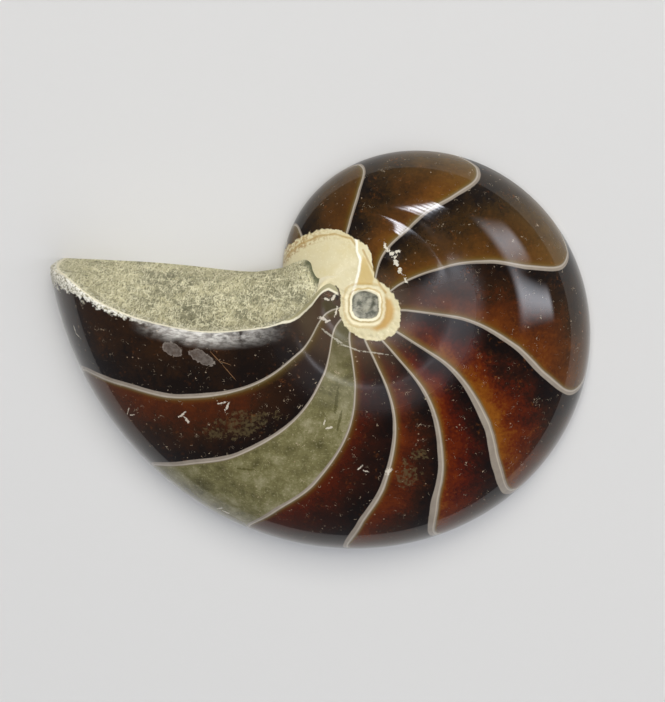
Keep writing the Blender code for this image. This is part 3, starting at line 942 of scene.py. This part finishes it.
def polished_material(look):
    """Calcite and shell, ground and polished flush: glassy, and dulled on the callus, frost and crust."""
    material, shader, add = new_material("polished_calcite_and_shell")
    at = surface_values(add, POLISHED_FIELDS, POLISHED_FADES)
    place = at["place"]
    at["phase"] = add("FRACT", (at["chamber"],))
    at["behind"] = add("MULTIPLY", (at["phase"], at["pace"]))
    flakes = strokes(add, place, FLAKES, 0.6, 0.7)
    colour = calcite_colour(add, look, at)
    colour = mudstone_filling(add, look, at, colour)
    colour = fibrous_marks(add, place, colour, flakes)
    colour = septum_lines(add, look, at, colour)
    for marks, ragging, crumbs, share, paint in WHITE_MARKS:
        colour = tinted(add, colour, paint, strokes(add, place, marks, ragging, crumbs), share)

    # The callus covers the chambers, with chips beside it and a dark notch at its left end
    ragged = add("TexNoise", {"Vector": place, "Scale": 1 / (0.7 * MM), "Detail": 4.0})
    ragged = add("MULTIPLY_ADD", (ragged, 0.9 * MM, -0.45 * MM))
    reach = add("ADD", (at["callus"], ragged))
    cover = add("MapRange", (reach, -0.08 * MM, 0.10 * MM), **SOFT)
    layers = add("MULTIPLY", (speckle(add, place, 1.6 * MM, 0.35, 0.75, detail=6.0), 0.6))
    colour = add("MixRGB", (cover, colour, callus_colour(add, look, at, ragged, layers)))
    colour = tinted(add, colour, "#D6CFBC", strokes(add, place, CALLUS_CHIPS, 3.2, 0.5), 0.85)
    notch = add("MULTIPLY_ADD", (ragged, 0.35, at["notch"]))
    notch = add("MapRange", (notch, 0.24 * MM, 0.10 * MM, 0.0, 0.9), **SOFT)
    colour = add("MixRGB", (notch, colour, "#1C150C"))
    frost_and_glare, frost_grain = frost_and_glare_masks(add, at)
    crust, crumb = crust_masks(add, at)
    colour = rim_colour(add, at, colour, ragged, frost_and_glare, frost_grain, crust)

    # Roughness of the polish, and what dulls it
    rough = add("MapRange", (cover, 0.0, 1.0, POLISH, WORN_POLISH))
    rough = add("MapRange", (flakes, 0.0, 1.0, rough, FLAKED_POLISH))
    frost_rough = add("MapRange", (frost_and_glare, 0.0, 1.0, POLISH, WORN_POLISH))
    rough = add("MAXIMUM", (rough, frost_rough))
    by_axis = add("MULTIPLY", (at["softer"], at["lower_half"]))
    rough = add("MAXIMUM", (rough, by_axis))
    rough = add("MapRange", (crust, 0.0, 1.0, rough, STONE_ROUGHNESS))

    # Fine relief: the callus's ragged edge and layers, the frost's grain and the crust's crumbs
    height = add("MULTIPLY", (ragged, at["callus_bump"]))
    for relief, mask, much in ((frost_grain, frost_and_glare, 0.35), (crumb, crust, 2.5), (layers, cover, 0.3)):
        relief = add("MULTIPLY", (relief, mask))
        height = add("MULTIPLY_ADD", (relief, much, height))
    bump = add("Bump", {"Height": height, "Distance": 0.10 * MM, "Strength": 0.7})
    fill(shader, {"Base Color": colour, "Roughness": rough, "Normal": bump, "IOR": CALCITE_IOR})
    return material


def scratched(add, low, colour, height):
    """Fibrous scratches in several directions, paler and higher than the rock, and the pits between them."""
    for turn, size in MATRIX_FIBRES:
        stretch = {"Vector": low, "Rotation": (0.0, turn, 0.0), "Scale": (6.0, 1.0, 1.0)}
        stretched = add("Mapping", stretch, vector_type="TEXTURE")
        web = add("TexNoise", {"Vector": stretched, "Scale": 1 / (size * MM), "Detail": 2.0})
        fibres = line_at(add, web, 0.5, 0.050, 0.012)
        fibres = add("MULTIPLY", (fibres, speckle(add, stretched, 0.6 * MM, 0.46, 0.58)))
        colour = tinted(add, colour, "#E6E0BC", fibres, 0.7)
        height = add("MULTIPLY_ADD", (fibres, 0.5, height))
    # A mudstone's own grain is under 0.06 mm and too fine to show, so its pits are drawn 0.16 mm across
    pits = speckle(add, low, 0.16 * MM, 0.50, 0.36)
    return tinted(add, colour, "#66644A", pits, 0.8), add("SUBTRACT", (height, pits))


def matrix_material(look):
    """Fine mudstone, broken and rubbed: a dull olive-cream face with fibrous scratches in many directions."""
    material, shader, add = new_material("rubbed_mudstone_matrix")
    at = surface_values(add, MATRIX_FIELDS, MATRIX_FADES)
    place = at["place"]
    clouds = add("TexNoise", {"Vector": place, "Scale": 1 / (4.0 * MM), "Detail": 7.0, "Roughness": 0.65})
    colour = add("ValToRGB", (clouds,), stops=[(0.32, "#7B7758"), (0.5, look.matrix), (0.68, "#C9C198")])
    # Painted light: lighter towards the far edge of the broken face
    colour = add("MixRGB", (at["far"], colour, "#C6C09B"))
    colour = tinted(add, colour, "#73725B", speckle(add, place, 5.0 * MM, 0.50, 0.38), 0.65)
    colour = tinted(add, colour, "#6B6951", strokes(add, place, MATRIX_PATCHES, 1.5, 1.2), 0.6)
    low = add("Mapping", {"Vector": place, "Scale": (1.0, 0.6, 0.3)})
    colour, height = scratched(add, low, colour, clouds)

    # A darker border along the callus, and dust, a crust and the lip of shell along the rim
    colour = tinted(add, colour, "#56593F", at["border"], at["border_side"])
    dusty = speckle(add, place, 0.30 * MM, 0.50, 0.60, detail=2.0)
    colour = tinted(add, colour, "#E9E4CC", at["dust"], dusty)
    past = add("SUBTRACT", (at["rim"], at["worn"]))
    crust = add("MapRange", (past, 0.05 * MM, -0.05 * MM), **SOFT)
    crumbs = add("MixRGB", (speckle(add, place, 0.5 * MM, 0.34, 0.58), "#98916F", "#F0ECDC"))
    colour = add("MixRGB", (crust, colour, crumbs))
    colour = tinted(add, colour, "#E6DFC3", line_at(add, past, 0.0, 0.30 * MM, 0.14 * MM), at["bared"])
    bump = add("Bump", {"Height": height, "Distance": 0.12 * MM, "Strength": 0.7})
    fill(shader, {"Base Color": colour, "Normal": bump, "Roughness": STONE_ROUGHNESS})
    return material


def coil_values(add, centred, radius):
    """The growth angle in radians at a point of the cut, and how many turns in from the outer wall it lies."""
    x = add("SeparateXYZ", (centred,))
    bearing = add("ARCTAN2", (x.node.outputs["Y"], x))
    angle = add("SUBTRACT", (bearing, math.radians(START_BEARING)))
    first = math.radians(RIM[-1][1] - 6.0)
    angle = add("WRAP", (angle, first + 2 * math.pi, first))
    sine = add("SINE", (angle,))
    cosine = add("COSINE", (angle,))
    sway = add("SUBTRACT", (sine, cosine))
    sway = add("MULTIPLY_ADD", (sway, GROWTH_SWAY, GROWTH_SWAY))
    shrink = add("DIVIDE", (WHORL_RADIUS, radius))
    shrink = add("LOGARITHM", (shrink, math.e))
    reached = add("ADD", (shrink, sway))
    reached = add("MULTIPLY", (reached, 2 * math.pi / math.log(WHORL_GROWTH)))
    turns = add("SUBTRACT", (reached, angle))
    turns = add("MULTIPLY", (turns, 1 / (2 * math.pi)))
    whole = add("FLOOR", (turns,))
    return add("MULTIPLY_ADD", (whole, 2 * math.pi, angle)), turns


def cut_material(look):
    """The saw cut, lapped to a satin shine: pale walls and curved septa round dark and amber chambers."""
    material, shader, add = new_material("lapped_saw_cut")
    place = add("TexCoord", out="Object")
    centred = add("Mapping", {"Vector": place, "Location": (-AXIS_PLACE[0], -AXIS_PLACE[1], 0.0)})
    radius = add("VectorMath", (centred,), out="Value", operation="LENGTH")
    growth, turns = coil_values(add, centred, radius)
    depth = add("FRACT", (turns,))
    bow = add("SUBTRACT", (depth, 0.5))
    bow = add("MULTIPLY", (bow, bow))
    growth = add("MULTIPLY_ADD", (bow, 1.6, growth))
    chamber = add("MULTIPLY", (growth, 1 / CUT_CHAMBER_ANGLE))
    phase = add("FRACT", (chamber,))
    clouds = add("TexNoise", {"Vector": place, "Scale": 1 / (2.5 * MM), "Detail": 5.0})
    clouded = add("MULTIPLY_ADD", (clouds, 0.6, -0.3))
    faded = add("ADD", (phase, clouded))
    stops = [(0.0, look.amber), (0.35, "#6E3312"), (0.65, look.maroon), (1.0, look.dark)]
    colour = add("ValToRGB", (faded,), stops=stops)
    nearest = add("PINGPONG", (chamber, 0.5))
    arc = add("MULTIPLY", (nearest, CUT_CHAMBER_ANGLE))
    arc = add("MULTIPLY", (arc, radius))
    septum = add("MapRange", (arc, 0.55 * MM, 0.35 * MM), **SOFT)
    wall = add("PINGPONG", (turns, 0.5))
    wall = add("MULTIPLY", (wall, 2.0 * math.log(WHORL_GROWTH)))
    wall = add("MULTIPLY", (wall, radius))
    wall = add("MapRange", (wall, 1.2 * MM, 0.9 * MM), **SOFT)
    pale = add("MAXIMUM", (septum, wall))
    fill(shader, {"Base Color": add("MixRGB", (pale, colour, look.septum)), "Roughness": LAPPED_ROUGHNESS})
    return material


class FOSSIL_OT_polished_half(bpy.types.Operator):
    """Build the polished nautilus half in place of the part's plain solid"""

    bl_idname = "fossil.polished_half"
    bl_label = "Polished nautilus half"

    def execute(self, context):
        look = context.scene.fossil_look
        mesh = build_stone(look)
        for material in (polished_material(look), matrix_material(look), cut_material(look)):
            mesh.materials.append(material)
        stone = bpy.data.objects.new(PIECE, mesh)
        context.scene.collection.objects.link(stone)
        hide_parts(NODE)
        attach(stone, "root")
        return {"FINISHED"}


def area_lamp(name, towards, distance, size, power, colour):
    """A soft lamp in a direction from the stone's middle, which it faces; the polish doesn't mirror it."""
    lamp = bpy.data.lights.new(name, "AREA")
    lamp.shape = "RECTANGLE"
    lamp.size, lamp.size_y = size
    lamp.energy = power
    lamp.color = linear(colour)[:3]
    back = Vector(towards).normalized()
    obj = bpy.data.objects.new(name, lamp)
    obj.matrix_world = Matrix.Translation(back * distance) @ back.to_track_quat("Z", "Y").to_matrix().to_4x4()
    obj.visible_glossy = False
    bpy.context.scene.collection.objects.link(obj)


def studio_air(light):
    """A dim room with soft-edged windows and one row of small lamps."""
    world = bpy.data.worlds.new("studio_air")
    world.use_nodes = True
    add = partial(add_node, world.node_tree)
    direction = add("TexCoord", out="Generated")
    height = add("SeparateXYZ", (direction,), out="Z")
    total = add("MapRange", (height, 0.0, 1.0, 0.22, 0.07))
    for towards, long, wide, soft, turn, brightness in WINDOWS:
        middle = Vector(towards).normalized()
        along = Matrix.Rotation(math.radians(turn), 3, "Z") @ Vector((1.0, 0.0, 0.0))
        along = (along - along.dot(middle) * middle).normalized()
        mask = add("VectorMath", (direction, middle), out="Value", operation="DOT_PRODUCT")
        mask = add("GREATER_THAN", (mask, 0.3))
        for axis, half in ((along, long), (middle.cross(along), wide)):
            offset = add("VectorMath", (direction, axis), out="Value", operation="DOT_PRODUCT")
            side = line_at(add, offset, 0.0, half + soft, half - soft)
            mask = add("MULTIPLY", (mask, side))
            if wide < LAMP_ROW_WIDTH and axis == along:
                row = add("MULTIPLY", (offset, LAMP_ROW_PITCH))
                row = add("SINE", (row,))
                row = add("MapRange", (row, -0.7, 0.1, 0.25, 1.0))
                mask = add("MULTIPLY", (mask, row))
        total = add("MULTIPLY_ADD", (mask, brightness, total))
    total = add("MULTIPLY", (total, light))
    fill(world.node_tree.nodes["Background"], {"Color": "#F2F5FF", "Strength": total})
    return world


def aimed_camera(distance):
    """The camera on its line to the coiling axis, aimed a little past it."""
    camera = bpy.data.cameras.new("camera")
    camera.lens = CAMERA_LENS
    camera.sensor_width = CAMERA_SENSOR
    towards = Vector(CAMERA_TOWARDS).normalized()
    right = Vector(CAMERA_RIGHT).normalized()
    up = towards.cross(right)
    forward = (CAMERA_AIM[0] * right + CAMERA_AIM[1] * up - towards).normalized()
    up = (up - up.dot(forward) * forward).normalized()
    turn = Matrix((forward.cross(up), up, -forward)).transposed().to_4x4()
    view = bpy.data.objects.new("camera", camera)
    view.matrix_world = Matrix.Translation(Vector((*AXIS_PLACE, 0.0)) + towards * distance) @ turn
    return view


class FOSSIL_OT_stage(bpy.types.Operator):
    """Add the plain pale floor, the soft lamps and the camera"""

    bl_idname = "fossil.stage"
    bl_label = "Studio"

    def execute(self, context):
        look = context.scene.fossil_stage
        bm = bmesh.new()
        bmesh.ops.create_grid(bm, x_segments=1, y_segments=1, size=FLOOR_HALF)
        floor_mesh = bpy.data.meshes.new("studio_floor")
        bm.to_mesh(floor_mesh)
        bm.free()
        floor = bpy.data.objects.new("studio_floor", floor_mesh)
        context.scene.collection.objects.link(floor)
        paper, shader, _ = new_material("matt_paper_floor")
        fill(shader, {"Base Color": look.floor, "Roughness": 0.9, "Specular IOR Level": 0.1})
        floor_mesh.materials.append(paper)

        context.scene.world = studio_air(look.light)
        for name, (towards, distance, size, power, colour) in LAMPS.items():
            area_lamp(name, towards, distance, size, power * look.light, colour)
        context.scene.camera = aimed_camera(look.camera_distance)
        context.scene.collection.objects.link(context.scene.camera)
        context.scene.view_settings.view_transform = "Standard"
        return {"FINISHED"}


class FOSSIL_PT_panel(bpy.types.Panel):
    """The fossil's own panel"""

    bl_idname = "FOSSIL_PT_panel"
    bl_label = "Fossil nautilus half"
    bl_space_type = "VIEW_3D"
    bl_region_type = "UI"
    bl_category = "Fossil"

    def draw(self, context):
        for group in (context.scene.fossil_look, context.scene.fossil_stage):
            box = self.layout.box()
            for name in group.bl_rna.properties.keys():
                if name not in ("rna_type", "name"):
                    box.prop(group, name)
        for operator in (FOSSIL_OT_polished_half, FOSSIL_OT_stage):
            self.layout.operator(operator.bl_idname)


CLASSES = (FossilLook, StageLook, FOSSIL_OT_polished_half, FOSSIL_OT_stage, FOSSIL_PT_panel)


def register():
    for cls in CLASSES:
        bpy.utils.register_class(cls)
    bpy.types.Scene.fossil_look = PointerProperty(type=FossilLook)
    bpy.types.Scene.fossil_stage = PointerProperty(type=StageLook)


def unregister():
    del bpy.types.Scene.fossil_stage
    del bpy.types.Scene.fossil_look
    for cls in reversed(CLASSES):
        bpy.utils.unregister_class(cls)


def main():
    for obj in [o for o in bpy.data.objects if o.type in ("CAMERA", "LIGHT") or o.name == "Cube"]:
        bpy.data.objects.remove(obj)
    register()
    bpy.ops.fossil.polished_half()
    bpy.ops.fossil.stage()


if __name__ == "__main__":
    main()
